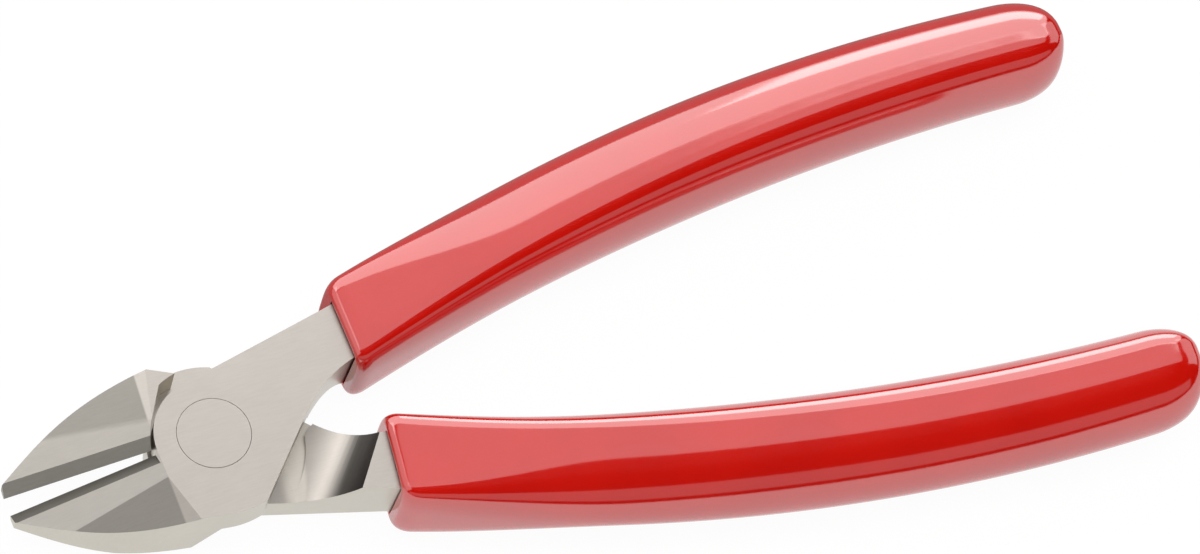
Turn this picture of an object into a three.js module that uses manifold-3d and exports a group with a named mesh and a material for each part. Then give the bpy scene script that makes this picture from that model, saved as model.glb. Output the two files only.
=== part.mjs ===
// Side-cutting pliers with a riveted lap joint and two dipped grips, in millimetres.
// X runs from the jaws to the handles, and Z from the back face to the front face.
// The pivot axis is the Z axis, and the back face of the joint lies on Z = 0.
import * as THREE from "three";
import { mergeVertices } from "three/addons/utils/BufferGeometryUtils.js";
import Module from "manifold-3d";

const wasm = await Module();
wasm.setup();

// Joint
const THICKNESS = 9.3; // both lapped halves together
const OPENING = 5.1; // degrees between the cutting edges as drawn
const LAP_GAP = 0.1; // between the two lapped faces
const BOSS_RADIUS = 7.75; // jaw side of the lapped boss
const DISC_RADIUS = 11.3; // outer side of the head beside the pivot
const SHOULDER_GAP = 0.4; // between a boss and the other half's jaw
const SHOULDER_FLARE = 1.4; // more room where the other half's neck swings in
const SHOULDER_TURN_OUT = 211; // degrees round the pivot where the flare begins
const FLARE_START = 238; // degrees round the pivot where it is full
const FLARE_END = 254; // degrees round the pivot where the shoulder ends
const SHOULDER_CUT_LEAN = 20; // degrees, slope of the cut across the shoulder's end
const SHOULDER_CUT_TURN = 22; // degrees, direction of that cut in plan
const POCKET_GAP = 0.35; // between a boss and the other half's handle ramp

// Rivet, with both heads ground flush
const RIVET_HEAD_RADIUS = 4.8;
const RIVET_HEAD_RIM = 0.9;
const RIVET_HEAD_CONE = 1.4;
const RIVET_SHANK_RADIUS = 3.4;
const RIVET_CLEARANCE = 0.06;

// Jaws
const JAW_LENGTH = 27.1; // pivot axis to nose
const NOSE_WIDTH = 1.5;
const NOSE_SPREAD = 35; // degrees between the cutting edge and the cheek at the nose
const NOSE_PULL = 7.5; // how far the cheek holds that direction
const CHEEK_SLANT = 8; // degrees, the cheek where it leaves the disc
const CHEEK_RUN = 4.3; // straight stretch of the cheek beside the disc
const CHEEK_PULL = 10.5; // how far the curved cheek holds the slant
const FACE_FALL = 0.285; // drop of a jaw's front face per millimetre towards the nose
const RIDGE_HEEL = 3.8; // ridge to cutting edge, at the heel of the jaw
const RIDGE_SPREAD = 0.148; // how fast the ridge leaves the cutting edge
const BEVEL_WIDTH = 1.6; // ground strip along the cutting edge
const BEVEL_DEPTH = 1.2;
const EDGE_RELIEF = 24; // degrees of undercut behind the cutting edge
const EDGE_GAP = 0.1; // between the edges when the jaws are shut
const BACK_TAPER_LENGTH = 11.4;
const BACK_TAPER = 0.17; // rise of the back face per millimetre towards the nose

// What tells the two sides apart besides the lap
const FRONT_SIDE = { heelDrop: 0, cheekFall: 0.08, mouthSlant: 0 };
const BACK_SIDE = { heelDrop: 0.16, cheekFall: 0.04, mouthSlant: 3 }; // slant in degrees

// Throat and ramp between the head and the handle
const THROAT_START = 74; // degrees round the disc from the handle side
const THROAT_X = 11.9; // where the straight side of the head turns into the neck
const THROAT_Y = -1.6;
const THROAT_TURN = 45; // degrees, direction there
const THROAT_PULL = 4.3;
const NECK_PULL = 3.2;
const NECK_LEAN = 0.6; // how far out the ramp side of the neck lies
const SHUT_CLEARANCE = 1; // degrees the necks could close beyond shut jaws
const RAMP_TURN = 36.5; // degrees, direction from the pivot across the ramp
const RAMP_TOP = 20.2; // pivot axis to the top edge of the ramp
const RAMP_FOOT = 10.8; // pivot axis to the foot of the ramp
const RAMP_LIP = 0.05; // height of the foot above the lapped face
const RAMP_TILT = 5; // degrees the foot sinks towards the outer side

// Handles, bowed on one arc
const BOW_RADIUS = 307;
const BOW_APEX_X = 107.5;
const BOW_APEX_Y = 20.95;
const TANG_ROOT_OUTER = 3.5; // tang root to bow line, away from the other handle
const TANG_ROOT_INNER = 4.15;
const TANG_TIP_HALF = 3.2;

// Grips
const GRIP_MOUTH = 21.1; // pivot axis to the open end
const GRIP_LENGTH = 110.1;
const GRIP_INNER_MOUTH = 6.43; // bow line to the side facing the other handle
const GRIP_INNER_TIP = 7;
const GRIP_INNER_BELLY = 0.96; // added at mid length
const GRIP_OUTER_MOUTH = 6.49; // bow line to the side facing away
const GRIP_OUTER_TIP = 6.1;
const GRIP_OUTER_BELLY = 0.69;
const GRIP_DEPTH_MOUTH = 13;
const GRIP_DEPTH_TIP = 15.4;
const GRIP_DEEP_FROM = 80; // pivot axis to where the grip has its full depth
const LAND_INNER_MOUTH = 4.5; // bow line to the inner edge of the flat land
const LAND_INNER_TIP = 3.5;
const LAND_OUTER_MOUTH = 4.6; // bow line to the outer edge of the flat land
const LAND_OUTER_TIP = -0.4;
const INNER_CREASE = 22; // degrees the side turns down at the edge of the land
const OUTER_CREASE = 8;
const MOUTH_BEND = 0.55; // 1 gives elliptical sides, less gives squarer ones
const SQUARE_FROM = 18; // pivot axis to where the square section starts to turn oval
const SQUARE_TO = 50;
const MOUTH_SLANT_RUN = 20; // length over which a slanting open end straightens
const GRIP_TIP_WALL = 4; // beyond the end of the tang
const GRIP_CLEARANCE = 0.25;
const GRIP_LIP = 1.2; // rounding of the open end, across the wall
const GRIP_LIP_RUN = 2.2; // and along the grip
const TANG_LEAD = 0.6; // parallel tang in front of the open end
const GRIP_DOME = 7; // length of the rounded closed end
const DOME_BEND = 0.5; // 1 rounds the end as an ellipse, less makes it squarer
const GRIP_CAP = 0.3; // flat at the very end, as a share of the section

// Fineness of curves
const ARC_STEPS = 20;
const ROUND_STEPS = 64;
const RAMP_STEPS = 120;
const BOW_STEPS = 14;
const GRIP_STEPS = 22;
const DOME_STEPS = 6;
const LIP_STEPS = 4;
const SIDE_STEPS = 8;

const HALF = THICKNESS / 2;
const REACH = 4 * JAW_LENGTH; // longer than the head in every direction
const SHOULDER_RADIUS = BOSS_RADIUS + SHOULDER_GAP;
const FLARE_RADIUS = SHOULDER_RADIUS + SHOULDER_FLARE;
const POCKET_RADIUS = Math.max(DISC_RADIUS, Math.hypot(THROAT_X, THROAT_Y)) + POCKET_GAP;
const GRIP_END = GRIP_MOUTH + GRIP_LENGTH;
const TANG_ROOT = GRIP_MOUTH - TANG_LEAD;
const TANG_END = GRIP_END - GRIP_TIP_WALL;

const radians = THREE.MathUtils.degToRad;
const lerp = THREE.MathUtils.lerp;

function polar(radius, degrees) {
  const angle = radians(degrees);
  return new THREE.Vector2(radius * Math.cos(angle), radius * Math.sin(angle));
}

// Solids: three.js geometry in, joined and cut solids out.
function solid(geometry) {
  const bare = geometry.clone();
  bare.deleteAttribute("normal");
  bare.deleteAttribute("uv");
  const merged = mergeVertices(bare, 1e-4);
  return new wasm.Manifold(
    new wasm.Mesh({
      numProp: 3,
      vertProperties: new Float32Array(merged.attributes.position.array),
      triVerts: new Uint32Array(merged.index.array),
    }),
  );
}

function geometryOf(body) {
  const mesh = body.getMesh();
  const geometry = new THREE.BufferGeometry();
  geometry.setAttribute("position", new THREE.BufferAttribute(mesh.vertProperties, 3));
  geometry.setIndex(new THREE.BufferAttribute(mesh.triVerts, 1));
  geometry.computeVertexNormals();
  return geometry;
}

function plate(shape, low, high) {
  const geometry = new THREE.ExtrudeGeometry(shape, {
    depth: high - low,
    bevelEnabled: false,
    curveSegments: ARC_STEPS,
  });
  return geometry.translate(0, 0, low);
}

function box(low, high) {
  const size = high.clone().sub(low);
  const middle = high.clone().add(low).multiplyScalar(0.5);
  const geometry = new THREE.BoxGeometry(size.x, size.y, size.z);
  return solid(geometry.translate(middle.x, middle.y, middle.z));
}

// Everything on the side of a plane that its normal points to, near the head.
function beyond(point, normal) {
  const geometry = new THREE.BoxGeometry(2 * REACH, 2 * REACH, REACH);
  geometry.translate(0, 0, REACH / 2);
  const turn = new THREE.Quaternion();
  turn.setFromUnitVectors(new THREE.Vector3(0, 0, 1), normal.clone().normalize());
  geometry.applyQuaternion(turn);
  return solid(geometry.translate(point.x, point.y, point.z));
}

// Bow line of the handle: its height and slope at a distance from the pivot.
function bow(x) {
  const run = x - BOW_APEX_X;
  const drop = Math.sqrt(BOW_RADIUS ** 2 - run ** 2);
  return { y: BOW_APEX_Y - BOW_RADIUS + drop, stretch: BOW_RADIUS / drop, slope: -run / drop };
}

// A point on the tang's edge: side is 1 away from the other handle, -1 towards it.
function tangEdge(x, side, clearance) {
  const share = (x - TANG_ROOT) / (TANG_END - TANG_ROOT);
  const root = side > 0 ? TANG_ROOT_OUTER : TANG_ROOT_INNER;
  const line = bow(x);
  const width = lerp(root, TANG_TIP_HALF, share) + clearance;
  return new THREE.Vector2(x, line.y + side * width * line.stretch);
}

function traceTang(path, start, end, clearance) {
  for (let step = 0; step <= BOW_STEPS; step++) {
    const edge = tangEdge(lerp(start, end, step / BOW_STEPS), -1, clearance);
    path.lineTo(edge.x, edge.y);
  }
  for (let step = BOW_STEPS; step >= 0; step--) {
    const edge = tangEdge(lerp(start, end, step / BOW_STEPS), 1, clearance);
    path.lineTo(edge.x, edge.y);
  }
}

// Plan of one half with its jaw below the X axis and its handle above it.
function halfOutline() {
  const neckEnd = tangEdge(TANG_ROOT, 1, 0);
  const neckReach = Math.hypot(neckEnd.x, neckEnd.y);
  const neckAngle = Math.atan2(neckEnd.y, neckEnd.x) + Math.acos(BOSS_RADIUS / neckReach);
  const neckStart = polar(BOSS_RADIUS, THREE.MathUtils.radToDeg(neckAngle));
  const discStart = -90 - CHEEK_SLANT;
  const cheekEnd = polar(CHEEK_RUN, 180 - CHEEK_SLANT).add(polar(DISC_RADIUS, discStart));
  const cheekPull = polar(CHEEK_PULL, 180 - CHEEK_SLANT).add(cheekEnd);
  const nose = new THREE.Vector2(-JAW_LENGTH, -NOSE_WIDTH);
  const nosePull = polar(NOSE_PULL, -NOSE_SPREAD).add(nose);
  const throat = new THREE.Vector2(THROAT_X, THROAT_Y);
  const throatPull = polar(THROAT_PULL, THROAT_TURN).add(throat);
  const neckInner = tangEdge(TANG_ROOT, -1, 0);
  const neckTurn = THREE.MathUtils.radToDeg(Math.atan(bow(TANG_ROOT).slope));
  const neckPull = polar(-NECK_PULL, neckTurn).add(neckInner);

  const outline = new THREE.Shape();
  outline.moveTo(neckStart.x, neckStart.y);
  outline.absarc(0, 0, BOSS_RADIUS, neckAngle, Math.PI, false);
  outline.lineTo(-JAW_LENGTH, 0);
  outline.lineTo(nose.x, nose.y);
  outline.bezierCurveTo(nosePull.x, nosePull.y, cheekPull.x, cheekPull.y, cheekEnd.x, cheekEnd.y);
  outline.absarc(0, 0, DISC_RADIUS, radians(discStart), radians(-THROAT_START), false);
  outline.lineTo(throat.x, throat.y);
  outline.bezierCurveTo(throatPull.x, throatPull.y, neckPull.x, neckPull.y, neckInner.x, neckInner.y);
  traceTang(outline, TANG_ROOT, TANG_END, 0);
  outline.closePath();
  return outline;
}

// The plate of a half or of its hollow, leaning outwards from the throat to the handle.
function leaningPlate(shape, half, lap) {
  const geometry = plate(shape, -half, half);
  const place = geometry.attributes.position;
  for (let k = 0; k < place.count; k++) {
    const share = THREE.MathUtils.smoothstep(place.getX(k), THROAT_X, TANG_ROOT);
    const shift = lap * place.getZ(k) < 0 ? NECK_LEAN * share : 0;
    place.setY(k, place.getY(k) + shift);
  }
  return solid(geometry);
}

function mirrored(shape) {
  const points = shape.getPoints(ARC_STEPS).map((p) => new THREE.Vector2(p.x, -p.y));
  return new THREE.Shape(points.reverse());
}

// Plan of the room that one half leaves for the other half's boss and neck.
function pocketOutline() {
  const flareStart = polar(FLARE_RADIUS, FLARE_START);
  const flareEnd = polar(FLARE_RADIUS, FLARE_END);
  const rampStart = polar(POCKET_RADIUS, -THROAT_START);
  const shape = new THREE.Shape();
  shape.moveTo(-SHOULDER_RADIUS, POCKET_RADIUS);
  shape.lineTo(-SHOULDER_RADIUS, 0);
  shape.absarc(0, 0, SHOULDER_RADIUS, Math.PI, radians(SHOULDER_TURN_OUT), false);
  shape.lineTo(flareStart.x, flareStart.y);
  shape.absarc(0, 0, FLARE_RADIUS, radians(FLARE_START), radians(FLARE_END), false);
  shape.lineTo(flareEnd.x, -REACH);
  shape.lineTo(rampStart.x, -REACH);
  shape.absarc(0, 0, POCKET_RADIUS, radians(-THROAT_START), Math.PI / 2, false);
  shape.closePath();
  return shape;
}

// The lapped side of a half: lap is 1 where its boss is at the front, -1 at the back.
function cutLap(body, lap) {
  const face = lap * (LAP_GAP / 2);
  const far = -lap * (HALF + LAP_GAP);
  const low = Math.min(face, far);
  const high = Math.max(face, far);
  const neckRoom = plate(mirrored(halfOutline()), low, high);
  neckRoom.rotateZ(radians(SHUT_CLEARANCE));
  const handleSide = box(
    new THREE.Vector3(0, -BOSS_RADIUS, low),
    new THREE.Vector3(TANG_ROOT, BOSS_RADIUS, high),
  );
  return body
    .subtract(solid(plate(pocketOutline(), low, high)))
    .subtract(solid(neckRoom).intersect(handleSide))
    .subtract(rampTool(lap))
    .subtract(shoulderTool(lap));
}

// Round-bottomed run-out from the lapped face to the full neck.
function rampTool(lap) {
  const rise = HALF - RAMP_LIP;
  const run = RAMP_TOP - RAMP_FOOT;
  const radius = (run ** 2 + rise ** 2) / (2 * rise);
  const foot = polar(RAMP_FOOT, RAMP_TURN);
  const geometry = new THREE.CylinderGeometry(radius, radius, REACH, RAMP_STEPS);
  geometry.rotateX(lap * radians(RAMP_TILT)).rotateZ(radians(RAMP_TURN));
  return solid(geometry.translate(foot.x, foot.y, -lap * (RAMP_LIP + radius)));
}

// Leaning cut across the outer end of the shoulder.
function shoulderTool(lap) {
  const corner = polar(FLARE_RADIUS, FLARE_END);
  const lean = radians(SHOULDER_CUT_LEAN);
  const turn = polar(Math.cos(lean), SHOULDER_CUT_TURN - 90);
  const normal = new THREE.Vector3(turn.x, turn.y, -lap * Math.sin(lean));
  const point = new THREE.Vector3(corner.x, corner.y, -lap * HALF);
  const low = new THREE.Vector3(-JAW_LENGTH, -REACH, Math.min(0, -lap * THICKNESS));
  const high = new THREE.Vector3(corner.x + SHOULDER_GAP, 0, Math.max(0, -lap * THICKNESS));
  return beyond(point, normal).intersect(box(low, high));
}

// Ground faces of a jaw: sloping front, cheek, cutting bevel, relief and tapered back.
function cutJaw(body, jaw) {
  const heel = new THREE.Vector3(-BOSS_RADIUS, -RIDGE_HEEL, HALF - jaw.heelDrop);
  const front = new THREE.Vector3(-FACE_FALL, 0, 1);
  const cheekRun = FACE_FALL - RIDGE_SPREAD * jaw.cheekFall;
  const cheek = new THREE.Vector3(-cheekRun, -jaw.cheekFall, 1);
  const edge = new THREE.Vector3(-BOSS_RADIUS, -EDGE_GAP / 2, heel.z - BEVEL_DEPTH);
  const along = new THREE.Vector3(1, 0, FACE_FALL);
  const upBevel = new THREE.Vector3(0, -BEVEL_WIDTH, BEVEL_DEPTH);
  const relief = radians(EDGE_RELIEF);
  const downRelief = new THREE.Vector3(0, -Math.sin(relief), -Math.cos(relief));
  const bevel = beyond(edge, upBevel.cross(along));
  const undercut = beyond(edge, along.clone().cross(downRelief));
  const backStart = new THREE.Vector3(BACK_TAPER_LENGTH - JAW_LENGTH, 0, -HALF);
  const back = new THREE.Vector3(-BACK_TAPER, 0, -1);
  const reach = SHOULDER_RADIUS;
  const joint = new THREE.CylinderGeometry(reach, reach, 2 * THICKNESS, ROUND_STEPS);
  joint.rotateX(Math.PI / 2);
  const headSide = box(
    new THREE.Vector3(-SHOULDER_RADIUS / 2, -REACH, -THICKNESS),
    new THREE.Vector3(2 * GRIP_END, REACH, THICKNESS),
  );
  const keep = solid(joint).add(headSide);
  return body
    .subtract(beyond(heel, front).subtract(headSide))
    .subtract(beyond(heel, cheek).subtract(headSide))
    .subtract(bevel.add(undercut).subtract(keep))
    .subtract(beyond(backStart, back));
}

// The rivet turned about its axis, or its hole when a clearance is given.
function rivetSolid(clearance, overrun) {
  const head = RIVET_HEAD_RADIUS + clearance;
  const shank = RIVET_SHANK_RADIUS + clearance;
  const end = HALF + overrun;
  const rim = HALF - RIVET_HEAD_RIM;
  const cone = rim - RIVET_HEAD_CONE;
  const profile = [
    [0, -end],
    [head, -end],
    [head, -rim],
    [shank, -cone],
    [shank, cone],
    [head, rim],
    [head, end],
    [0, end],
  ].map(([radius, height]) => new THREE.Vector2(radius, height));
  return solid(new THREE.LatheGeometry(profile, ROUND_STEPS).rotateX(Math.PI / 2));
}

function halfGeometry(lap, jaw) {
  let body = leaningPlate(halfOutline(), HALF, lap);
  body = cutLap(body, lap);
  body = cutJaw(body, jaw);
  return geometryOf(body.subtract(rivetSolid(RIVET_CLEARANCE, HALF)));
}

// Section of the grip at a distance from the pivot: both sides, half depth and bend.
function gripSize(x) {
  const share = (x - GRIP_MOUTH) / GRIP_LENGTH;
  const swell = 4 * share * (1 - share);
  const oval = THREE.MathUtils.smoothstep(x, SQUARE_FROM, SQUARE_TO);
  const deep = THREE.MathUtils.smoothstep(x, GRIP_MOUTH, GRIP_DEEP_FROM);
  const inner = {
    reach: lerp(GRIP_INNER_MOUTH, GRIP_INNER_TIP, share) + swell * GRIP_INNER_BELLY,
    land: lerp(LAND_INNER_MOUTH, LAND_INNER_TIP, share),
    crease: radians(INNER_CREASE),
  };
  const outer = {
    reach: lerp(GRIP_OUTER_MOUTH, GRIP_OUTER_TIP, share) + swell * GRIP_OUTER_BELLY,
    land: lerp(LAND_OUTER_MOUTH, LAND_OUTER_TIP, oval),
    crease: radians(OUTER_CREASE),
  };
  const depth = lerp(GRIP_DEPTH_MOUTH, GRIP_DEPTH_TIP, deep) / 2;
  return { inner, outer, depth, bend: lerp(MOUTH_BEND, 1, oval) };
}

// A point on a convex side: share is 0 at the edge of the land, 1 at mid height.
function gripSide(form, bend, share) {
  const angle = lerp(form.crease, Math.PI / 2, share);
  const first = Math.sin(form.crease) ** bend;
  const across = (Math.sin(angle) ** bend - first) / (1 - first);
  const up = Math.max(0, Math.cos(angle) / Math.cos(form.crease)) ** bend;
  return { across: lerp(form.land, form.reach, across), up };
}

// Stations along the grip: a rounded lip, the long body and a rounded closed end.
function gripStations() {
  const stations = [];
  for (let step = 0; step < LIP_STEPS; step++) {
    const turn = (step / LIP_STEPS) * (Math.PI / 2);
    stations.push({
      x: GRIP_MOUTH + GRIP_LIP_RUN * (1 - Math.cos(turn)),
      inset: GRIP_LIP * (1 - Math.sin(turn)),
      shrink: 1,
    });
  }
  for (let step = 0; step <= GRIP_STEPS; step++) {
    const x = lerp(GRIP_MOUTH + GRIP_LIP_RUN, GRIP_END - GRIP_DOME, step / GRIP_STEPS);
    stations.push({ x, inset: 0, shrink: 1 });
  }
  for (let step = 1; step <= DOME_STEPS; step++) {
    const turn = (step / DOME_STEPS) * (Math.PI / 2);
    const shrink = step < DOME_STEPS ? Math.cos(turn) ** DOME_BEND : GRIP_CAP;
    stations.push({ x: GRIP_END - GRIP_DOME * (1 - Math.sin(turn)), inset: 0, shrink });
  }
  return stations;
}

// Section of the grip at one station, as points round its centre from side to side.
function gripRing(station, slant) {
  const size = gripSize(station.x);
  const fade = THREE.MathUtils.smoothstep(station.x, GRIP_MOUTH, GRIP_MOUTH + MOUTH_SLANT_RUN);
  const shear = Math.tan(radians(slant)) * (1 - fade);
  const line = bow(station.x);
  const depth = (size.depth - station.inset) * Math.sqrt(station.shrink);
  const points = [];
  const quarters = [
    [1, 1, size.outer],
    [-1, 1, size.inner],
    [-1, -1, size.inner],
    [1, -1, size.outer],
  ];
  quarters.forEach(([side, level, form], quarter) => {
    const narrow = (1 - station.inset / form.reach) * station.shrink;
    const outwards = quarter % 2 === 1;
    const steps = outwards ? SIDE_STEPS - 1 : SIDE_STEPS;
    for (let step = 0; step <= steps; step++) {
      const place = outwards ? step : SIDE_STEPS - step;
      const edge = gripSide(form, size.bend, place / SIDE_STEPS);
      const across = side * edge.across * narrow * line.stretch;
      const along = station.x + shear * (GRIP_OUTER_MOUTH - across);
      points.push(new THREE.Vector3(along, line.y + across, level * edge.up * depth));
    }
  });
  return points;
}

// Closed skin through rings of equal count, capped flat at both ends.
function loft(rings) {
  const count = rings[0].length;
  const index = [];
  for (let row = 0; row + 1 < rings.length; row++) {
    for (let k = 0; k < count; k++) {
      const a = row * count + k;
      const b = row * count + ((k + 1) % count);
      index.push(a, b, a + count, b, b + count, a + count);
    }
  }
  const last = (rings.length - 1) * count;
  for (let k = 1; k + 1 < count; k++) {
    index.push(0, k + 1, k, last, last + k, last + k + 1);
  }
  const geometry = new THREE.BufferGeometry().setFromPoints(rings.flat());
  return geometry.setIndex(index);
}

function gripGeometry(lap, slant) {
  const skin = solid(loft(gripStations().map((station) => gripRing(station, slant))));
  const hollow = new THREE.Shape();
  const mouth = tangEdge(TANG_ROOT, 1, GRIP_CLEARANCE);
  hollow.moveTo(mouth.x, mouth.y);
  traceTang(hollow, TANG_ROOT, TANG_END + GRIP_CLEARANCE, GRIP_CLEARANCE);
  return geometryOf(skin.subtract(leaningPlate(hollow, HALF + GRIP_CLEARANCE, lap)));
}

// Finishes
const steel = { color: 0xc8c2b9, roughness: 0.38, metalness: 1 };
const rivetSteel = { color: 0xc4beb4, roughness: 0.34, metalness: 1 };
const redVinyl = { color: 0xbe0800, roughness: 0.18, metalness: 0 };

function part(name, geometry, finish) {
  const mesh = new THREE.Mesh(geometry, new THREE.MeshStandardMaterial(finish));
  mesh.name = name;
  return mesh;
}

// One handle side of the tool: the front one as drawn, the back one mirrored in plan.
function side(prefix, lap, form) {
  const group = new THREE.Group();
  const half = part(`${prefix}_half`, halfGeometry(lap, form), steel);
  const grip = part(`${prefix}_grip`, gripGeometry(lap, form.mouthSlant), redVinyl);
  group.add(half, grip);
  group.scale.y = lap;
  group.rotation.z = lap * radians(OPENING / 2);
  return group;
}

const pliers = new THREE.Group();
pliers.add(side("front", 1, FRONT_SIDE));
pliers.add(side("back", -1, BACK_SIDE));
pliers.add(part("pivot_rivet", geometryOf(rivetSolid(0, 0)), rivetSteel));
pliers.position.z = HALF;

const root = new THREE.Group();
root.add(pliers);

export default root;
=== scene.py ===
"""Looks of the side-cutting pliers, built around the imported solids, in metres."""

from __future__ import annotations

import logging
import math
from dataclasses import dataclass, field
from enum import Enum
from typing import Any, Union

import bpy
import numpy as np
from mathutils import Euler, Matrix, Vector


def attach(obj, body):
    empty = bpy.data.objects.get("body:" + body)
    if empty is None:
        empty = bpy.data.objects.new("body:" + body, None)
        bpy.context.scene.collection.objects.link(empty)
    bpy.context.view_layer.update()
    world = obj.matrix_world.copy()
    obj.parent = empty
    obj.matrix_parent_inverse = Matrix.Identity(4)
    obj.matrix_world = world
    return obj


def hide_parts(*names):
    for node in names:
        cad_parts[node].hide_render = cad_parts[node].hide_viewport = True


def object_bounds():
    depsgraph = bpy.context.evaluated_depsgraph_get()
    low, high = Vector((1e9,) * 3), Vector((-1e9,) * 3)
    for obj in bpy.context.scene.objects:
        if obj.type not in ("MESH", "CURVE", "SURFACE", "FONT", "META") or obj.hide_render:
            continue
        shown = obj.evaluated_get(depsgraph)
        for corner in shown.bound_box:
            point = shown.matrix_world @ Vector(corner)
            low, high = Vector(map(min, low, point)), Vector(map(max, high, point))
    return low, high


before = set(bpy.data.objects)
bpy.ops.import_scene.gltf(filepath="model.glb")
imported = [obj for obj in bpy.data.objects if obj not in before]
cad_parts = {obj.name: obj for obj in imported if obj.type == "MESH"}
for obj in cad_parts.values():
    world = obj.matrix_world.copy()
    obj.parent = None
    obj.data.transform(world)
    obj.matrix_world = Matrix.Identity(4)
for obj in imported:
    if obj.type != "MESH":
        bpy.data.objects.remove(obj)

LOG = logging.getLogger("pliers")
MM = 0.001
OPENING = 5.1  # degrees between the cutting edges at rest
THICKNESS = 9.3 * MM
HALF = THICKNESS / 2
FLOOR_GAP = 0.1 * MM
CAD_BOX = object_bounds()

Number = Union[float, int]
Span = tuple[float, float]
Colour = tuple[float, float, float, float]
WHITE: Colour = (1.0, 1.0, 1.0, 1.0)
GRAIN_STRETCH = (500.0, 5200.0, 900.0)  # per metre, finest across the grinding
WELD = 2e-6  # metres within which loose corners are joined
FLAT = 0.4  # degrees within which neighbouring faces count as one


class Side(Enum):
    """Which half of the tool a piece belongs to."""

    FRONT = 1
    BACK = -1

    @property
    def body(self) -> str:
        """Name of the rigid body that the side's pieces ride on."""
        return self.name.lower()

    @property
    def sign(self) -> int:
        """Plus one for the half in front at the joint, minus one for the other."""
        return self.value


class Wire:
    """A shader value that takes part in Python arithmetic."""

    def __init__(self, recipe: "Recipe", socket: bpy.types.NodeSocket) -> None:
        """Keeps the recipe that adds nodes and the output socket to read."""
        self.recipe = recipe
        self.socket = socket

    def _math(self, operation: str, first: Any, second: Any) -> "Wire":
        """Adds one Math node on two values.

        Args:
            operation: The node's operation.
            first: Left value or link.
            second: Right value or link.

        Returns:
            The result.
        """
        settings = {"operation": operation}
        return self.recipe.node("ShaderNodeMath", settings, {0: first, 1: second})

    def __add__(self, other: Any) -> "Wire":
        """Sum."""
        return self._math("ADD", self, other)

    def __radd__(self, other: Any) -> "Wire":
        """Sum with a number on the left."""
        return self._math("ADD", other, self)

    def __sub__(self, other: Any) -> "Wire":
        """Difference."""
        return self._math("SUBTRACT", self, other)

    def __rsub__(self, other: Any) -> "Wire":
        """Difference from a number on the left."""
        return self._math("SUBTRACT", other, self)

    def __mul__(self, other: Any) -> "Wire":
        """Product."""
        return self._math("MULTIPLY", self, other)

    def __rmul__(self, other: Any) -> "Wire":
        """Product with a number on the left."""
        return self._math("MULTIPLY", other, self)

    def __abs__(self) -> "Wire":
        """Size without its sign."""
        return self._math("ABSOLUTE", self, 0.0)

    def rise(self, low: Number, high: Number) -> "Wire":
        """Smooth step from 0 at low to 1 at high, or falling where low is above high.

        Args:
            low: Value that gives 0.
            high: Value that gives 1.

        Returns:
            A mask from 0 to 1.
        """
        start, end = (low, high) if low < high else (high, low)
        ends = (0.0, 1.0) if low < high else (1.0, 0.0)
        settings = {"interpolation_type": "SMOOTHSTEP", "clamp": True}
        values = {"Value": self, "From Min": start, "From Max": end}
        values.update({"To Min": ends[0], "To Max": ends[1]})
        return self.recipe.node("ShaderNodeMapRange", settings, values)


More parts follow.
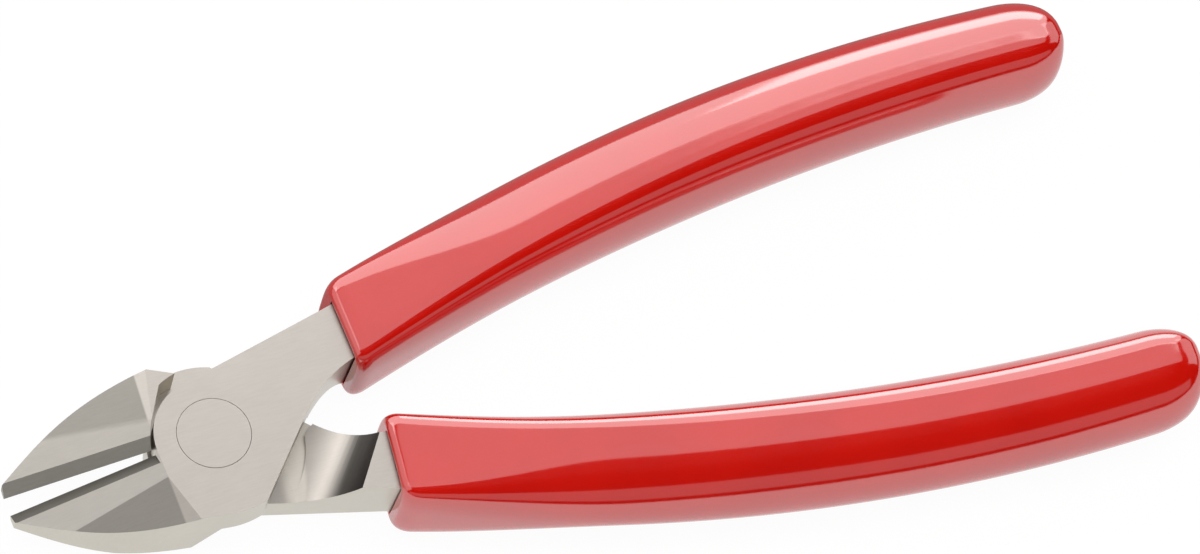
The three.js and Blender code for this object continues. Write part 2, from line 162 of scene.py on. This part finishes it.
class Recipe:
    """The node tree of one material or of the world."""

    def __init__(self, owner: Any) -> None:
        """Empties the owner's node tree.

        Args:
            owner: A material or a world.
        """
        owner.use_nodes = True
        self.owner = owner
        self.tree = owner.node_tree
        self.tree.nodes.clear()

    def node(self, kind: str, settings: dict | None = None, inputs: dict | None = None,
             output: Union[int, str] = 0) -> Wire:
        """Adds any node.

        Args:
            kind: The node's type.
            settings: Attributes, set first.
            inputs: Socket names or numbers with values or links.
            output: The output to return.

        Returns:
            The chosen output.
        """
        made = self.tree.nodes.new(kind)
        for key, value in (settings or {}).items():
            setattr(made, key, value)
        for key, value in (inputs or {}).items():
            if isinstance(value, Wire):
                self.tree.links.new(value.socket, made.inputs[key])
            else:
                made.inputs[key].default_value = value
        return Wire(self, made.outputs[output])

    def split(self, vector: Wire) -> tuple[Wire, Wire, Wire]:
        """Parts of a vector.

        Args:
            vector: A vector value.

        Returns:
            Its X, Y and Z values.
        """
        whole = self.node("ShaderNodeSeparateXYZ", {}, {0: vector})
        outputs = whole.socket.node.outputs
        return tuple(Wire(self, outputs[k]) for k in range(3))

    def blend(self, mask: Any, base: Any, top: Any) -> Wire:
        """Mixes two colours.

        Args:
            mask: Share of the top colour.
            base: Colour at 0.
            top: Colour at 1.

        Returns:
            The mixed colour.
        """
        settings = {"data_type": "RGBA", "blend_type": "MIX", "clamp_factor": True}
        return self.node("ShaderNodeMix", settings, {0: mask, 6: base, 7: top}, 2)

    def scaled(self, vector: Wire, scale: tuple[float, float, float]) -> Wire:
        """A vector stretched along its axes."""
        settings = {"operation": "MULTIPLY"}
        return self.node("ShaderNodeVectorMath", settings, {0: vector, 1: scale})

    def noise(self, vector: Wire, scale: float, detail: float) -> Wire:
        """Plain noise from 0 to 1 with a given scale and detail."""
        values = {"Vector": vector, "Scale": scale, "Detail": detail}
        return self.node("ShaderNodeTexNoise", {}, values)

    def grinding(self, place: Wire) -> Wire:
        """Fine grain that runs along the tool, as a grinding belt leaves it."""
        return self.noise(self.scaled(place, GRAIN_STRETCH), 1.0, 2.0)

    def toned(self, colour: Any, tone: Wire) -> Wire:
        """A colour made lighter or darker.

        Args:
            colour: The colour.
            tone: Factor, 1 for no change.

        Returns:
            The changed colour.
        """
        grey = self.node("ShaderNodeCombineXYZ", {}, {0: tone, 1: tone, 2: tone})
        settings = {"data_type": "RGBA", "blend_type": "MULTIPLY"}
        return self.node("ShaderNodeMix", settings, {0: 1.0, 6: colour, 7: grey}, 2)

    def bump(self, height: Wire, strength: float, depth: float, **inputs: Wire) -> Wire:
        """Normals of a relief.

        Args:
            height: Height from 0 to 1.
            strength: Share of the relief that shows.
            depth: Depth of the relief, in metres.
            inputs: Normals of a finer relief below, if any.

        Returns:
            The normals.
        """
        values = {"Strength": strength, "Distance": depth, "Height": height, **inputs}
        return self.node("ShaderNodeBump", {}, values)

    def surface(self, shader: Wire) -> None:
        """Links a shader to the output of a material or a world."""
        world = isinstance(self.owner, bpy.types.World)
        kind = "ShaderNodeOutputWorld" if world else "ShaderNodeOutputMaterial"
        made = self.tree.nodes.new(kind)
        self.tree.links.new(shader.socket, made.inputs["Surface"])


@dataclass(frozen=True)
class GroundSteelWithPaintedLight:
    """Fine-ground bare steel of a half, with painted shade, light and reflection on its facets,
    which are told apart by place and normal.

    A root is a span of millimetres along the shut half, a rise or lean one of the unit normal.
    """

    name: str
    side: Side
    ridge: float  # mm over which the cheek's painted shade fades in across the ridge between face and cheek
    # Painted shade: the jaw's front facet a little darker than the faces, the cheek past the
    # ridge much darker.
    jaw: Colour
    cheek_painted_shade: Colour
    # Painted shade: a dark colour for a narrow sloping facet on the jaw, which looks dark in
    # reflection.
    strip: Colour
    strip_shine: float  # metallic share of the strip, whose dark colour is painted shade
    face: Colour = (0.544, 0.504, 0.461, 1.0)
    # Painted light: the side walls a little lighter than the faces.
    flank_painted_light: Colour = (0.592, 0.563, 0.496, 1.0)
    # Painted light: a lighter colour for the lap's floor, so that it looks lit where the boss
    # shades it.
    lap: Colour = (0.62, 0.582, 0.52, 1.0)
    lap_shine: float = 0.2  # metallic share of the lap's floor, low so that its lighter colour shows as painted light
    # Painted reflection: a dark band on the concave ramp, where the steel reflects dark
    # surroundings.
    ramp_painted_reflection: Colour = (0.064, 0.059, 0.054, 1.0)
    jaw_root: Span = (-7.6, -7.9)
    jaw_rise: Span = (0.85, 0.93)
    ridge_start: Span = (-7.75, -3.8)  # where the ridge leaves the boss
    ridge_slope: float = 0.148
    strip_root: Span = (-6.5, -7.0)
    strip_lean: Span = (0.3, 0.45)
    strip_rise: Span = (0.45, 0.6)
    lap_depth: Span = (0.35, 0.2)  # mm from the middle plane
    lap_root: Span = (7.0, 9.0)
    lap_rise: Span = (0.93, 0.98)
    flank_rise: Span = (0.6, 0.4)
    ramp_turn: float = 36.5  # degrees, direction from the pivot across the ramp
    ramp_root: Span = (10.0, 11.0)
    ramp_lean: Span = (0.34, 0.6)
    ramp_rise: Span = (0.3, 0.5)
    roughness: float = 0.36
    lap_rough: float = 0.25
    strip_rough: float = 0.04
    grain_rough: float = 0.12
    grain_tone: float = 0.14
    grain_relief: Span = (0.06, 0.00002)  # strength and depth
    cloud_scale: float = 160.0
    cloud_tone: float = 0.1

    def build(self) -> bpy.types.Material:
        """Makes the material.

        Returns:
            The steel of one half.
        """
        material = bpy.data.materials.new(self.name)
        recipe = Recipe(material)
        place = self._turned(recipe, "Object")
        grain = recipe.grinding(place)
        streak = grain - 0.5
        cloud = recipe.noise(place, self.cloud_scale, 3.0) - 0.5
        masks = self._facets(recipe, place)
        # Over the faces' own colour, each facet's colour paints the shade, light or reflection
        # that it shows.
        colour: Any = self.face
        for facet in ("flank_painted_light", "ramp_painted_reflection", "jaw", "cheek_painted_shade", "strip", "lap"):
            colour = recipe.blend(masks[facet], colour, getattr(self, facet))
        tone = streak * self.grain_tone + cloud * self.cloud_tone + 1.0
        rough = self.roughness + streak * self.grain_rough
        rough = rough + masks["lap"] * self.lap_rough + masks["strip"] * self.strip_rough
        shine = 1.0 - masks["strip"] * (1.0 - self.strip_shine)
        values = {
            "Base Color": recipe.toned(colour, tone),
            "Metallic": shine - masks["lap"] * (1.0 - self.lap_shine),
            "Roughness": rough,
            "Normal": recipe.bump(grain, *self.grain_relief),
        }
        recipe.surface(recipe.node("ShaderNodeBsdfPrincipled", {}, values))
        return material

    def _facets(self, recipe: Recipe, place: Wire) -> dict[str, Wire]:
        """Masks of the facets that carry painted shade, light and reflection.

        Args:
            recipe: The material's nodes.
            place: Places on the shut half.

        Returns:
            A mask for each facet's name.
        """
        x, y, z = recipe.split(recipe.scaled(place, (1.0 / MM, 1.0 / MM, 1.0 / MM)))
        nx, ny, nz = recipe.split(self._turned(recipe, "Normal"))
        level = abs(nz)
        # The jaw's front facet and the cheek past its ridge get painted shade.
        jaw = x.rise(*self.jaw_root) * nz.rise(*self.jaw_rise)
        start_x, start_y = self.ridge_start
        ridge = start_y - (start_x - x) * self.ridge_slope
        # A narrow sloping facet on the jaw gets painted shade.
        strip = x.rise(*self.strip_root) * ny.rise(*self.strip_lean)
        # The lap's floor gets painted light.
        lap = abs(z - HALF / MM).rise(*self.lap_depth) * level.rise(*self.lap_rise)
        # The concave ramp gets a painted dark reflection band.
        turn = math.radians(self.ramp_turn)
        lean = 0.0 - (nx * math.cos(turn) + ny * math.sin(turn))
        ramp_painted_reflection = lean.rise(*self.ramp_lean) * x.rise(*self.ramp_root)
        return {
            "jaw": jaw,
            "cheek_painted_shade": jaw * (ridge - y).rise(-self.ridge, self.ridge),
            "strip": strip * nz.rise(*self.strip_rise),
            "lap": lap * x.rise(*self.lap_root),
            # Side walls get painted light.
            "flank_painted_light": level.rise(*self.flank_rise),
            "ramp_painted_reflection": ramp_painted_reflection * level.rise(*self.ramp_rise),
        }

    def _turned(self, recipe: Recipe, output: str) -> Wire:
        """Coordinates or normals as the half has them with shut jaws and its jaw below X.

        Args:
            recipe: The material's nodes.
            output: Object for places, Normal for normals.

        Returns:
            The turned vector.
        """
        source = recipe.node("ShaderNodeTexCoord", {}, {}, output)
        turn = (0.0, 0.0, -math.radians(OPENING / 2))
        values = {"Vector": source, "Rotation": turn, "Scale": (1.0, self.side.sign, 1.0)}
        return recipe.node("ShaderNodeMapping", {}, values)


@dataclass(frozen=True)
class RivetSteel:
    """Steel of the flush rivet, ground together with the faces round it."""

    name: str = "rivet_steel"
    colour: Colour = (0.544, 0.504, 0.461, 1.0)
    roughness: float = 0.36
    grain_rough: float = 0.12
    grain_tone: float = 0.14

    def build(self) -> bpy.types.Material:
        """Makes the material."""
        material = bpy.data.materials.new(self.name)
        recipe = Recipe(material)
        place = recipe.node("ShaderNodeTexCoord", {}, {}, "Object")
        streak = recipe.grinding(place) - 0.5
        colour = recipe.toned(self.colour, streak * self.grain_tone + 1.0)
        rough = self.roughness + streak * self.grain_rough
        values = {"Base Color": colour, "Metallic": 1.0, "Roughness": rough}
        recipe.surface(recipe.node("ShaderNodeBsdfPrincipled", {}, values))
        return material


@dataclass(frozen=True)
class DippedVinyl:
    """Glossy red vinyl of the grips."""

    name: str = "dipped_vinyl"
    colour: Colour = (0.6, 0.006, 0.002, 1.0)
    deep: Colour = (0.56, 0.005, 0.002, 1.0)
    deep_span: Span = (0.3, 0.7)
    cloud_scale: float = 90.0
    gloss: float = 2.3  # index of refraction
    roughness: float = 0.1
    peel_scale: float = 1400.0
    peel_rough: float = 0.06
    peel_relief: Span = (0.05, 0.00003)  # strength and depth
    wave_scale: float = 120.0
    wave_relief: Span = (0.1, 0.0002)

    def build(self) -> bpy.types.Material:
        """Makes the material."""
        material = bpy.data.materials.new(self.name)
        recipe = Recipe(material)
        place = recipe.node("ShaderNodeTexCoord", {}, {}, "Object")
        cloud = recipe.noise(place, self.cloud_scale, 2.0)
        peel = recipe.noise(place, self.peel_scale, 2.0)
        wave = recipe.noise(place, self.wave_scale, 1.0)
        fine = recipe.bump(peel, *self.peel_relief)
        values = {
            "Base Color": recipe.blend(cloud.rise(*self.deep_span), self.colour, self.deep),
            "Roughness": self.roughness + (peel - 0.5) * self.peel_rough,
            "Normal": recipe.bump(wave, *self.wave_relief, Normal=fine),
            "IOR": self.gloss,
        }
        recipe.surface(recipe.node("ShaderNodeBsdfPrincipled", {}, values))
        return material


@dataclass(frozen=True)
class StudioPaper:
    """White paper of the studio floor, which keeps a faint shadow."""

    name: str = "studio_paper"
    colour: Colour = (0.9, 0.9, 0.9, 1.0)
    glow: float = 0.96
    shaded: Colour = (0.25, 0.25, 0.25, 1.0)  # as shiny surfaces show it behind the tool
    behind_slope: float = 0.145  # slope of the upper handle in plan
    behind: Span = (0.014, 0.02)  # metres past the middle of the tool

    def build(self) -> bpy.types.Material:
        """Makes the material."""
        material = bpy.data.materials.new(self.name)
        recipe = Recipe(material)
        diffuse = recipe.node("ShaderNodeBsdfDiffuse", {}, {"Color": self.colour})
        glossy = recipe.node("ShaderNodeLightPath", {}, {}, "Is Glossy Ray")
        x, y, _ = recipe.split(recipe.node("ShaderNodeTexCoord", {}, {}, "Object"))
        behind = (y - x * self.behind_slope).rise(*self.behind)
        colour = recipe.blend(glossy * behind, WHITE, self.shaded)
        white = recipe.node("ShaderNodeEmission", {}, {"Color": colour})
        seen = seen_white(recipe) * self.glow
        recipe.surface(recipe.node("ShaderNodeMixShader", {}, {0: seen, 1: diffuse, 2: white}))
        return material


def seen_white(recipe: Recipe) -> Wire:
    """Mask of the rays that see the background as plain white.

    Args:
        recipe: Nodes of the floor or the world.

    Returns:
        One for camera, glossy and transmission rays.
    """
    paths = recipe.node("ShaderNodeLightPath").socket.node.outputs
    names = ("Is Camera Ray", "Is Glossy Ray", "Is Transmission Ray")
    camera, glossy, through = (Wire(recipe, paths[name]) for name in names)
    return (camera + glossy + through).rise(0.0, 1.0)


def deselect() -> None:
    """Leaves nothing selected, so that operators act on the next piece alone."""
    if bpy.context.object and bpy.context.object.mode != "OBJECT":
        bpy.ops.object.mode_set(mode="OBJECT")
    bpy.ops.object.select_all(action="DESELECT")


def activate(piece: bpy.types.Object) -> None:
    """Selects one piece alone and makes it active."""
    deselect()
    piece.select_set(True)
    bpy.context.view_layer.objects.active = piece


def merged_copy(node: str, name: str) -> bpy.types.Object:
    """Copies a solid's mesh into a new piece and joins its loose triangles.

    Args:
        node: Name of the solid.
        name: Name of the piece.

    Returns:
        The piece, with flat regions joined into single faces.
    """
    piece = bpy.data.objects.new(name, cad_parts[node].data.copy())
    bpy.context.scene.collection.objects.link(piece)
    piece.data.materials.clear()
    activate(piece)
    if piece.data.has_custom_normals:
        bpy.ops.mesh.customdata_custom_splitnormals_clear()
    bpy.ops.object.mode_set(mode="EDIT")
    bpy.ops.mesh.select_all(action="SELECT")
    bpy.ops.mesh.remove_doubles(threshold=WELD)
    bpy.ops.mesh.dissolve_limited(angle_limit=math.radians(FLAT))
    bpy.ops.object.mode_set(mode="OBJECT")
    return piece


def apply_bevel(piece: bpy.types.Object, width: float, angle: float) -> None:
    """Rounds the edges of a piece that are sharper than an angle, in two steps.

    Args:
        piece: The piece.
        width: Width of the rounding, in metres.
        angle: Least angle between faces, in degrees.
    """
    activate(piece)
    bevel = piece.modifiers.new("edges", "BEVEL")
    bevel.limit_method = "ANGLE"
    bevel.angle_limit = math.radians(angle)
    bevel.width = width
    bevel.segments = 2
    bevel.use_clamp_overlap = True
    bpy.ops.object.modifier_apply(modifier=bevel.name)


@dataclass
class SteelHalf:
    """One forged half: jaw, lapped boss, neck and tang."""

    side: Side
    finish: GroundSteelWithPaintedLight
    edge: float = 0.06 * MM
    edge_angle: float = 22.0
    smooth_angle: float = 3.7
    piece: bpy.types.Object | None = None

    def build(self) -> None:
        """Copies the solid and breaks its sharp edges."""
        node = f"{self.side.body}_half"
        self.piece = merged_copy(node, f"{node}_ground")
        apply_bevel(self.piece, self.edge, self.edge_angle)
        activate(self.piece)
        bpy.ops.object.shade_smooth_by_angle(angle=math.radians(self.smooth_angle))
        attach(self.piece, self.side.body)
        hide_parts(node)

    def dress(self) -> None:
        """Gives the half its ground steel, with painted shade and light on its facets."""
        self.piece.data.materials.append(self.finish.build())


@dataclass
class PivotRivet:
    """The flush rivet at the joint."""

    finish: RivetSteel = field(default_factory=RivetSteel)
    edge: float = 0.015 * MM
    edge_angle: float = 40.0
    smooth_angle: float = 20.0
    piece: bpy.types.Object | None = None

    def build(self) -> None:
        """Copies the solid and breaks the rims of its heads."""
        self.piece = merged_copy("pivot_rivet", "pivot_rivet_flush")
        apply_bevel(self.piece, self.edge, self.edge_angle)
        activate(self.piece)
        bpy.ops.object.shade_smooth_by_angle(angle=math.radians(self.smooth_angle))
        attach(self.piece, "front")
        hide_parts("pivot_rivet")

    def dress(self) -> None:
        """Gives the rivet its steel."""
        self.piece.data.materials.append(self.finish.build())


def mix(ends: tuple[float, float], share: float) -> float:
    """Value between two ends at a share of the way."""
    return ends[0] + (ends[1] - ends[0]) * share


def smooth(value: float, low: float, high: float) -> float:
    """Smooth step from 0 at low to 1 at high."""
    share = min(1.0, max(0.0, (value - low) / (high - low)))
    return share * share * (3.0 - 2.0 * share)


@dataclass(frozen=True)
class GripForm:
    """One long side of a grip in millimetres from the bow line, at the mouth and at the tip."""

    reach: tuple[float, float]
    belly: float
    land: tuple[float, float]
    crease: float  # degrees the side turns down at the edge of the flat land
    soft: float  # share of the side that the rounded edge of the land takes
    steps: int = 26
    edge_steps: int = 6

    def curve(self, share: float, turned: float, bend: float) -> np.ndarray:
        """Section of the side from the rounded edge of the land to mid height.

        Args:
            share: Place along the grip, 0 at the mouth and 1 at the tip.
            turned: Share of the way from the land at the mouth to that at the tip.
            bend: 1 for an elliptical side, less for a squarer one.

        Returns:
            Rows of the distance across and the height as a share of the half depth.
        """
        reach = mix(self.reach, share) + 4.0 * share * (1.0 - share) * self.belly
        land = mix(self.land, turned)
        start = math.radians(self.crease)
        angle = start + (math.pi / 2 - start) * np.linspace(self.soft, 1.0, self.steps)
        first = math.sin(start) ** bend
        across = land + (reach - land) * (np.sin(angle) ** bend - first) / (1.0 - first)
        up = (np.maximum(np.cos(angle), 0.0) / math.cos(start)) ** bend
        t = np.linspace(0.0, 1.0, self.edge_steps, endpoint=False)[:, None]
        corner = np.array([land, 1.0])
        side = np.stack([across, up], axis=1)
        inward = corner - [side[0, 0] - land, 0.0]
        edge = (1 - t) ** 2 * inward + 2 * t * (1 - t) * corner + t ** 2 * side[0]
        return np.concatenate([edge, side])


@dataclass
class DippedGrip:
    """One bowed grip with a flat land, convex sides, a rolled lip and a rounded end.

    Lengths are millimetres along the shut handle.
    """

    side: Side
    finish: bpy.types.Material
    slant: float  # degrees the open end slants in plan
    inner: GripForm = GripForm(
        reach=(6.43, 7.0), belly=0.96, land=(4.5, 3.5), crease=22.0, soft=0.16)
    outer: GripForm = GripForm(
        reach=(6.49, 6.1), belly=0.69, land=(4.6, -0.4), crease=8.0, soft=0.06)
    bow_radius: float = 307.0
    bow_apex: tuple[float, float] = (107.5, 20.95)
    tang: tuple[float, float, float] = (4.15, 3.5, 3.2)  # inner and outer root, tip
    tang_lead: float = 0.6  # start of the tang before the mouth
    neck_lean: float = 0.6
    mouth: float = 21.1
    length: float = 110.1
    depth: tuple[float, float] = (13.0, 15.4)
    deep_from: float = 80.0
    mouth_bend: float = 0.55
    square: tuple[float, float] = (18.0, 50.0)
    slant_run: float = 20.0
    tip_wall: float = 4.0
    clearance: float = 0.25
    lip: float = 1.2
    lip_run: float = 2.2
    dome: float = 7.0
    land_steps: int = 6
    hollow_steps: int = 30
    lip_steps: int = 12
    body_steps: int = 90
    dome_steps: int = 24
    rim_gap: float = 0.05  # from the rim to the first section of the hollow
    weld: float = 1e-6  # metres
    smooth_angle: float = 40.0
    piece: bpy.types.Object | None = None

    def build(self) -> None:
        """Wraps a grid round the tang: hollow, lip, body and rounded end in one skin."""
        rings = np.array(self._hollow() + self._lip() + self._body() + self._dome())
        stations, count = rings.shape[:2]
        deselect()
        bpy.ops.mesh.primitive_grid_add(
            x_subdivisions=count, y_subdivisions=stations - 1, size=1.0)
        self.piece = bpy.context.object
        self.piece.name = f"{self.side.body}_grip_skin"
        self.piece.data.name = self.piece.name
        closed = np.concatenate([rings, rings[:, :1]], axis=1)
        places = self._at_rest(closed.reshape(-1, 3)) * MM
        self.piece.data.vertices.foreach_set("co", places.astype(np.float32).ravel())
        self.piece.data.update()
        self._close()
        bpy.ops.object.shade_smooth_by_angle(angle=math.radians(self.smooth_angle))
        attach(self.piece, self.side.body)
        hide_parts(f"{self.side.body}_grip")

    def dress(self) -> None:
        """Gives the grip its vinyl."""
        self.piece.data.materials.append(self.finish)

    def _close(self) -> None:
        """Joins the seam and the two ends and turns the faces outwards."""
        activate(self.piece)
        bpy.ops.object.mode_set(mode="EDIT")
        bpy.ops.mesh.select_all(action="SELECT")
        bpy.ops.mesh.remove_doubles(threshold=self.weld)
        bpy.ops.mesh.normals_make_consistent(inside=False)
        bpy.ops.object.mode_set(mode="OBJECT")

    def _bow(self, x: Any) -> tuple[Any, Any]:
        """Height of the bow line and the stretch of widths across it."""
        run = x - self.bow_apex[0]
        drop = np.sqrt(self.bow_radius ** 2 - run ** 2)
        return self.bow_apex[1] - self.bow_radius + drop, self.bow_radius / drop

    def _slanted(self, x: float, across: np.ndarray) -> np.ndarray:
        """Places along the handle of a section, slanting near the open end."""
        fade = smooth(x, self.mouth, self.mouth + self.slant_run)
        shear = math.tan(math.radians(self.slant)) * (1.0 - fade)
        return x + shear * (self.outer.reach[0] - across)

    def _outer_ring(self, x: float, inset: float, shrink: float) -> np.ndarray:
        """A section of the outside.

        Args:
            x: Distance from the pivot.
            inset: How far the lip is drawn in.
            shrink: Share of the full width left at the rounded end.

        Returns:
            Points round the section.
        """
        share = (x - self.mouth) / self.length
        oval = smooth(x, *self.square)
        bend = mix((self.mouth_bend, 1.0), oval)
        outer = self.outer.curve(share, oval, bend)
        inner = self.inner.curve(share, share, bend)
        outer[:, 0] *= (1.0 - inset / outer[-1, 0]) * shrink
        inner[:, 0] *= -(1.0 - inset / inner[-1, 0]) * shrink
        land = np.linspace(outer[0], inner[0], self.land_steps)[1:-1]
        top = np.concatenate([outer[::-1], land, inner])
        low = top[-2:0:-1] * (1.0, -1.0)
        section = np.concatenate([top, low])
        half = mix(self.depth, smooth(x, self.mouth, self.deep_from)) / 2
        middle, stretch = self._bow(x)
        across = section[:, 0] * stretch
        up = section[:, 1] * (half - inset) * math.sqrt(shrink)
        return np.stack([self._slanted(x, across), middle + across, up], axis=1)

    def _hollow_ring(self, x: float, spokes: np.ndarray) -> np.ndarray:
        """A section of the hollow, which leans with the tang.

        Args:
            x: Distance from the pivot.
            spokes: Directions round the section, across and up.

        Returns:
            Points where the spokes meet the walls of the hollow.
        """
        root = self.mouth - self.tang_lead
        share = (x - root) / (self.mouth + self.length - self.tip_wall - root)
        inner, outer, tip = self.tang
        low, high = (mix((start, tip), share) + self.clearance for start in (inner, outer))
        half = HALF / MM + self.clearance
        wide = np.where(spokes[:, 0] < 0.0, low, high)
        reach = np.minimum(wide / np.maximum(np.abs(spokes[:, 0]), 1e-9),
                           half / np.maximum(np.abs(spokes[:, 1]), 1e-9))
        across, up = spokes[:, 0] * reach, spokes[:, 1] * reach
        along = self._slanted(x, across)
        middle, stretch = self._bow(along)
        lean = self.neck_lean * (0.5 - self.side.sign * up / (2.0 * half))
        return np.stack([along, middle + across * stretch + lean, up], axis=1)

    def _hollow(self) -> list[np.ndarray]:
        """Sections from the closed end of the hollow to the mouth."""
        end = self.mouth + self.length - self.tip_wall + self.clearance
        rim = self._outer_ring(self.mouth, self.lip, 1.0)
        spokes = rim[:, 1:] - (self._bow(self.mouth)[0], 0.0)
        places = np.linspace(end, self.mouth + self.rim_gap, self.hollow_steps)
        rings = [self._hollow_ring(x, spokes) for x in places]
        centre = np.tile(rings[0].mean(axis=0), (len(rings[0]), 1))
        return [centre] + rings

    def _lip(self) -> list[np.ndarray]:
        """Sections round the rolled lip."""
        rings = []
        for turn in np.radians(np.linspace(0.0, 90.0, self.lip_steps, endpoint=False)):
            x = self.mouth + self.lip_run * (1.0 - math.cos(turn))
            rings.append(self._outer_ring(x, self.lip * (1.0 - math.sin(turn)), 1.0))
        return rings

    def _body(self) -> list[np.ndarray]:
        """Sections along the body."""
        start = self.mouth + self.lip_run
        end = self.mouth + self.length - self.dome
        places = np.linspace(start, end, self.body_steps)
        return [self._outer_ring(x, 0.0, 1.0) for x in places]

    def _dome(self) -> list[np.ndarray]:
        """Sections of the rounded end."""
        end = self.mouth + self.length
        rings = []
        for turn in np.radians(np.linspace(0.0, 90.0, self.dome_steps + 1)[1:]):
            shrink = math.sqrt(max(0.0, math.cos(turn)))
            x = end - self.dome * (1.0 - math.sin(turn))
            rings.append(self._outer_ring(x, 0.0, max(shrink, 1e-9)))
        return rings

    def _at_rest(self, points: np.ndarray) -> np.ndarray:
        """Turns points of the shut handle to the side and pose that the solids have.

        Args:
            points: Points along the shut front handle.

        Returns:
            Points in the part's frame.
        """
        x, y, z = points[:, 0], points[:, 1] * self.side.sign, points[:, 2]
        turn = self.side.sign * math.radians(OPENING / 2)
        across = x * math.cos(turn) - y * math.sin(turn)
        along = x * math.sin(turn) + y * math.cos(turn)
        return np.stack([across, along, z + HALF / MM], axis=1)


@dataclass(frozen=True)
class Softbox:
    """A soft studio light that looks at the tool."""

    name: str
    direction: tuple[float, float, float]
    distance: float
    size: tuple[float, float]
    radiance: float
    mirrored: bool = True  # whether shiny surfaces show it
    lighting: bool = True  # whether dull surfaces are lit by it

    def build(self, target: Vector) -> None:
        """Adds the light.

        Args:
            target: The point that the light faces.
        """
        light = bpy.data.lights.new(self.name, "AREA")
        light.shape = "RECTANGLE"
        light.size, light.size_y = self.size
        light.energy = self.radiance * math.pi * self.size[0] * self.size[1]
        lamp = bpy.data.objects.new(self.name, light)
        towards = Vector(self.direction).normalized()
        lamp.location = target + towards * self.distance
        lamp.rotation_euler = towards.to_track_quat("Z", "Y").to_euler()
        lamp.visible_glossy = self.mirrored
        lamp.visible_diffuse = self.lighting
        bpy.context.scene.collection.objects.link(lamp)


@dataclass
class Studio:
    """Paper floor, soft lights, pale surroundings and the photograph's camera."""

    floor_level: float
    target: Vector = field(default_factory=lambda: Vector((0.055, 0.0, 0.005)))
    floor_size: float = 4.0
    walls: Colour = (0.006, 0.006, 0.006, 1.0)
    lens: float = 175.2
    sensor: float = 36.0
    near: float = 0.01
    eye: tuple[float, float, float] = (-0.171949, -0.258267, 0.688915)
    turn: tuple[float, float, float] = (25.4186, -10.1541, -20.2958)
    lights: tuple[Softbox, ...] = (
        Softbox("overhead", (0.0, 0.14, 1.0), 1.0, (1.9, 0.62), 0.72),
        Softbox("top_fill", (0.0, -0.1, 1.0), 1.1, (1.4, 0.9), 2.85, mirrored=False),
        Softbox("back_wall", (0.1, 0.87, 0.5), 1.0, (2.0, 1.36), 0.6),
        Softbox("back_glow", (0.1, 0.87, 0.5), 1.01, (2.02, 1.37), 1.34, lighting=False),
        Softbox("rim_strip", (0.51, 0.825, 0.24), 1.0, (0.5, 0.35), 2.3, lighting=False),
        Softbox("left_panel", (-1.0, 0.3, 0.55), 1.0, (1.3, 0.9), 0.88),
        Softbox("right_panel", (1.0, 0.15, 0.45), 1.0, (0.8, 0.5), 1.0),
        Softbox("front_fill", (-0.1, -0.87, 0.5), 1.0, (1.2, 1.2), 0.4, mirrored=False),
        Softbox("front_low", (-0.1, -0.93, 0.33), 1.0, (3.0, 0.42), 0.34, lighting=False),
    )

    def build(self) -> None:
        """Builds the whole studio."""
        self._floor()
        self._world()
        self._camera()
        for light in self.lights:
            light.build(self.target)

    def _floor(self) -> None:
        """Lays the paper under the tool."""
        deselect()
        place = (self.target.x, self.target.y, self.floor_level)
        bpy.ops.mesh.primitive_plane_add(size=self.floor_size, location=place)
        floor = bpy.context.object
        floor.name = "paper_floor"
        floor.data.materials.append(StudioPaper().build())

    def _world(self) -> None:
        """Makes the surroundings: white where the camera looks, dark walls in reflections."""
        world = bpy.data.worlds.new("studio")
        bpy.context.scene.world = world
        recipe = Recipe(world)
        paths = recipe.node("ShaderNodeLightPath", {}, {}, "Is Camera Ray")
        colour = recipe.blend(paths, self.walls, WHITE)
        recipe.surface(recipe.node("ShaderNodeBackground", {}, {"Color": colour}))

    def _camera(self) -> None:
        """Places the camera where the photograph was taken."""
        lens = bpy.data.cameras.new("photo_camera")
        lens.sensor_fit = "HORIZONTAL"
        lens.sensor_width = self.sensor
        lens.lens = self.lens
        lens.clip_start = self.near
        camera = bpy.data.objects.new("photo_camera", lens)
        camera.location = self.eye
        camera.rotation_euler = Euler([math.radians(a) for a in self.turn], "XYZ")
        bpy.context.scene.collection.objects.link(camera)
        bpy.context.scene.camera = camera


def main() -> None:
    """Builds and dresses every piece, then the studio round them."""
    logging.basicConfig(level=logging.INFO)
    bpy.context.scene.view_settings.view_transform = "Standard"
    vinyl = DippedVinyl().build()
    steels = {
        # Each half's jaw, cheek and strip colours are painted shade.
        Side.FRONT: GroundSteelWithPaintedLight(
            "front_ground_steel_painted_light", Side.FRONT, ridge=0.06,
            jaw=(0.504, 0.474, 0.432, 1.0), cheek_painted_shade=(0.352, 0.331, 0.298, 1.0),
            strip=(0.144, 0.136, 0.122, 1.0), strip_shine=1.0),
        Side.BACK: GroundSteelWithPaintedLight(
            "back_ground_steel_painted_light", Side.BACK, ridge=0.5,
            jaw=(0.488, 0.458, 0.413, 1.0), cheek_painted_shade=(0.312, 0.293, 0.264, 1.0),
            strip=(0.27, 0.257, 0.228, 1.0), strip_shine=0.3),
    }
    slants = {Side.FRONT: 0.0, Side.BACK: 3.0}
    pieces: list[Any] = [PivotRivet()]
    for side in Side:
        pieces += [SteelHalf(side, steels[side]), DippedGrip(side, vinyl, slants[side])]
    for piece in pieces:
        piece.build()
        piece.dress()
        LOG.info("%s: %d faces", piece.piece.name, len(piece.piece.data.polygons))
    Studio(floor_level=CAD_BOX[0][2] - FLOOR_GAP).build()
    deselect()


if __name__ == "__main__":
    main()
